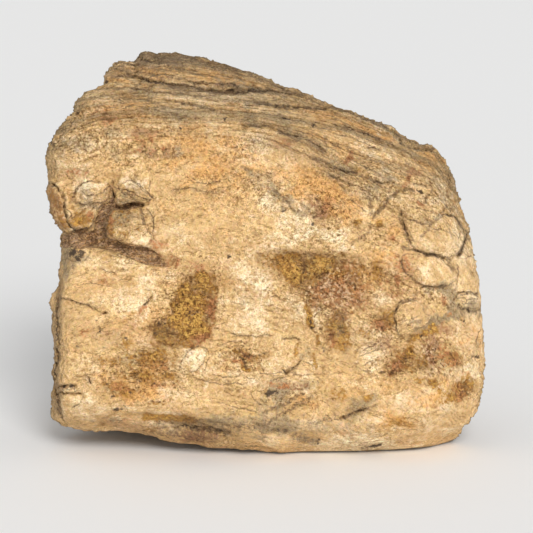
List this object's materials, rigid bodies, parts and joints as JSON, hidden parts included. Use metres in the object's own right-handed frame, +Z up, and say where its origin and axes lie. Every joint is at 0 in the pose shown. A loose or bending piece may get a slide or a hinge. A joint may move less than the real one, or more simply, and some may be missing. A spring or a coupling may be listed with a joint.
{
  "type": "petrified wood",
  "caption": "Broken chunk of petrified wood with a rounded pale face, wood grain ridges along its top, open cracks and a flat underside to stand on.",
  "frame": {"origin": "middle of the stone's footprint, on the surface it stands on", "axes": "+X to the right along the broad face, +Y from the broad face to the back, +Z up"},
  "size_m": [0.1611, 0.095, 0.1416],
  "materials": {
    "petrified_wood": "dry, matt, cream to tan silica with brown and ochre stains"
  },
  "bodies": {
    "root": {"petrified_wood": "petrified_wood"}
  },
  "joints": []
}
